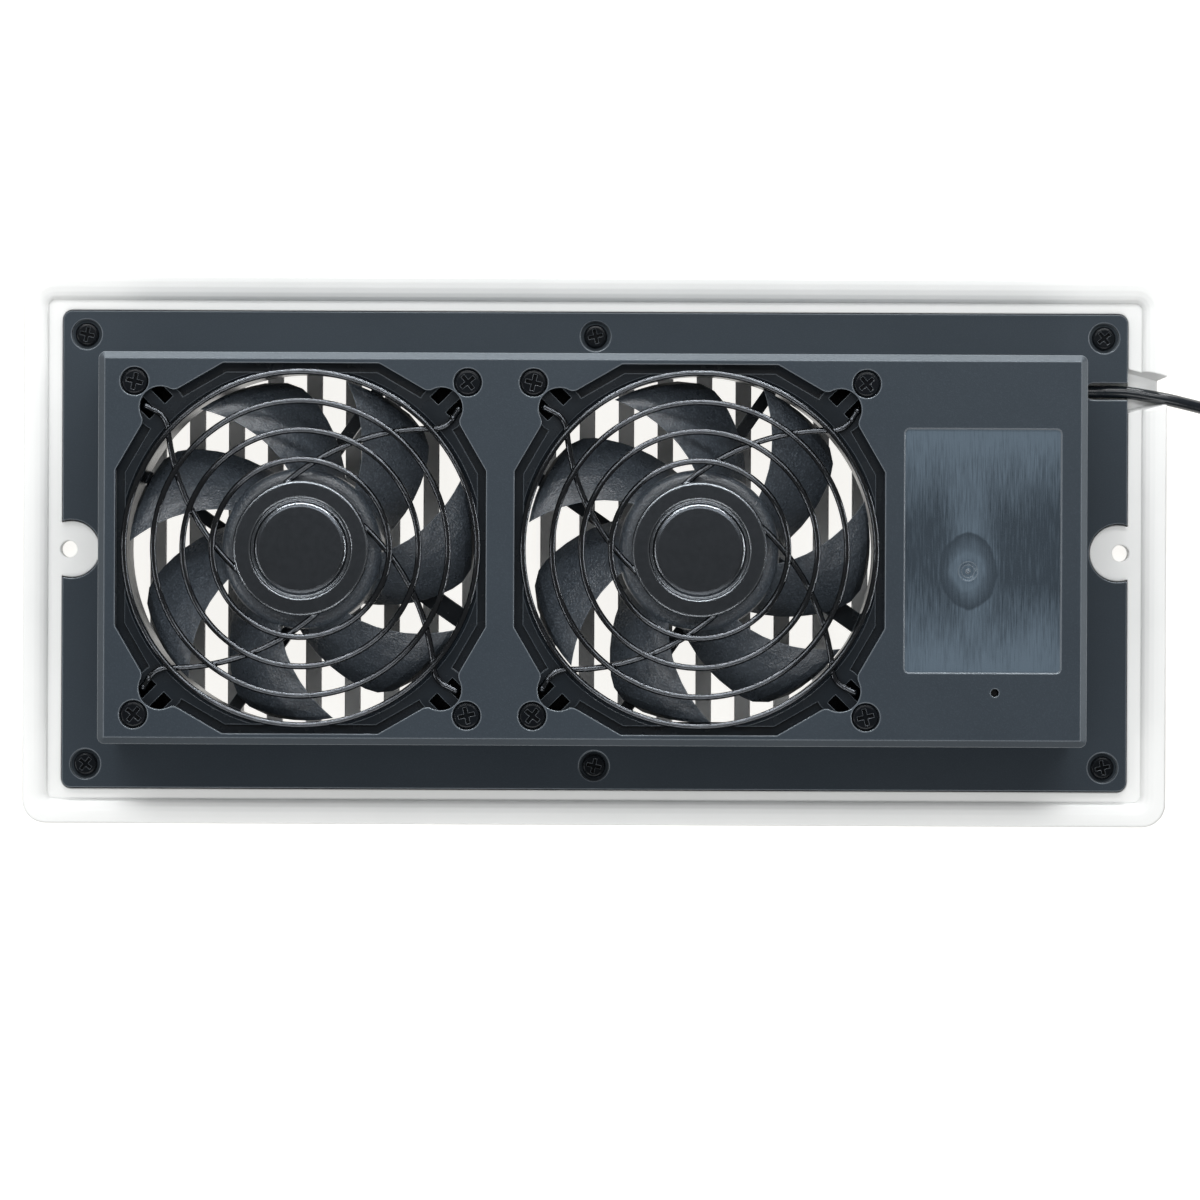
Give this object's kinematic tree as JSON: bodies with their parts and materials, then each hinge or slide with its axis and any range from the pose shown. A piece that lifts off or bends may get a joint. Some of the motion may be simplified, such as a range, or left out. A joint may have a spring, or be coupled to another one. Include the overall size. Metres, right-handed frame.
{
  "type": "register booster fan",
  "caption": "Register booster fan: grille faceplate, duct housing with axial fans under wire guards, control bay and power lead with wall adapter.",
  "frame": {"origin": "middle of the faceplate, on its room side", "axes": "+Z from the room side into the duct, +X along the register towards the control bay and the cord, +Y across it"},
  "size_m": [0.356, 0.16, 0.046],
  "materials": {
    "white_plastic": "satin moulded white",
    "housing_plastic": "fine moulded grain, blue-grey black",
    "fan_plastic": "satin moulded black",
    "blade_plastic": "grained moulded black",
    "black_screw": "black oxide",
    "guard_wire": "semi-gloss black powder coat",
    "steel": "bright",
    "ferrite": "sintered",
    "bronze": "sintered bronze",
    "nylon": "natural nylon",
    "copper": "enamelled wire",
    "circuit_board": "solder mask",
    "component": "moulded",
    "display": "display glass",
    "window": "tinted clear",
    "button": "satin",
    "sensor": "dipped epoxy",
    "cord": "satin sheath",
    "tie": "soft band",
    "adapter": "fine grain",
    "prong": "plated"
  },
  "bodies": {
    "body": {"faceplate": "white_plastic", "duct_housing": "housing_plastic", "housing_screws": "black_screw", "fan_frame_left": "fan_plastic", "fan_frame_right": "fan_plastic", "fan_screws_left": "black_screw", "fan_screws_right": "black_screw", "finger_guard_left": "guard_wire", "finger_guard_right": "guard_wire", "shaft_bearing_left": "bronze", "shaft_bearing_right": "bronze", "stator_core_left": "steel", "stator_core_right": "steel", "motor_windings_left": "copper", "motor_windings_right": "copper", "motor_board_left": "circuit_board", "motor_board_right": "circuit_board", "fan_lead_left": "cord", "fan_lead_right": "cord", "control_board": "circuit_board", "board_components": "component", "board_screws": "steel", "display_module": "display", "display_window": "window", "tact_switches": "component", "temperature_sensor": "sensor", "cord_gland": "cord", "power_lead": "cord", "cord_run": "cord", "cord_coil": "cord", "cord_tail": "cord", "coil_tie": "tie", "adapter_case": "adapter", "adapter_cover": "adapter", "adapter_prongs": "prong", "adapter_relief": "cord"},
    "rotor_left": {"impeller_left": "blade_plastic", "rotor_yoke_left": "steel", "rotor_magnet_left": "ferrite", "fan_shaft_left": "steel", "shaft_clip_left": "nylon"},
    "rotor_right": {"impeller_right": "blade_plastic", "rotor_yoke_right": "steel", "rotor_magnet_right": "ferrite", "fan_shaft_right": "steel", "shaft_clip_right": "nylon"},
    "button_mode": {"button_mode": "button"},
    "button_up": {"button_up": "button"},
    "button_down": {"button_down": "button"}
  },
  "joints": [
    {"name": "impeller_left_spin", "type": "hinge", "parent": "body", "child": "rotor_left", "pos_m": [-0.0728, 0, 0.0305], "axis": [0, 0, 1], "continuous": true},
    {"name": "impeller_right_spin", "type": "hinge", "parent": "body", "child": "rotor_right", "pos_m": [0.026, 0, 0.0305], "axis": [0, 0, 1], "continuous": true},
    {"name": "button_mode_press", "type": "slide", "parent": "body", "child": "button_mode", "axis": [0, 0, 1], "range_m": [0, 0.0006], "stiffness_N_per_m": 600, "springref_m": -0.0004},
    {"name": "button_up_press", "type": "slide", "parent": "body", "child": "button_up", "axis": [0, 0, 1], "range_m": [0, 0.0006], "stiffness_N_per_m": 600, "springref_m": -0.0004},
    {"name": "button_down_press", "type": "slide", "parent": "body", "child": "button_down", "axis": [0, 0, 1], "range_m": [0, 0.0006], "stiffness_N_per_m": 600, "springref_m": -0.0004}
  ]
}
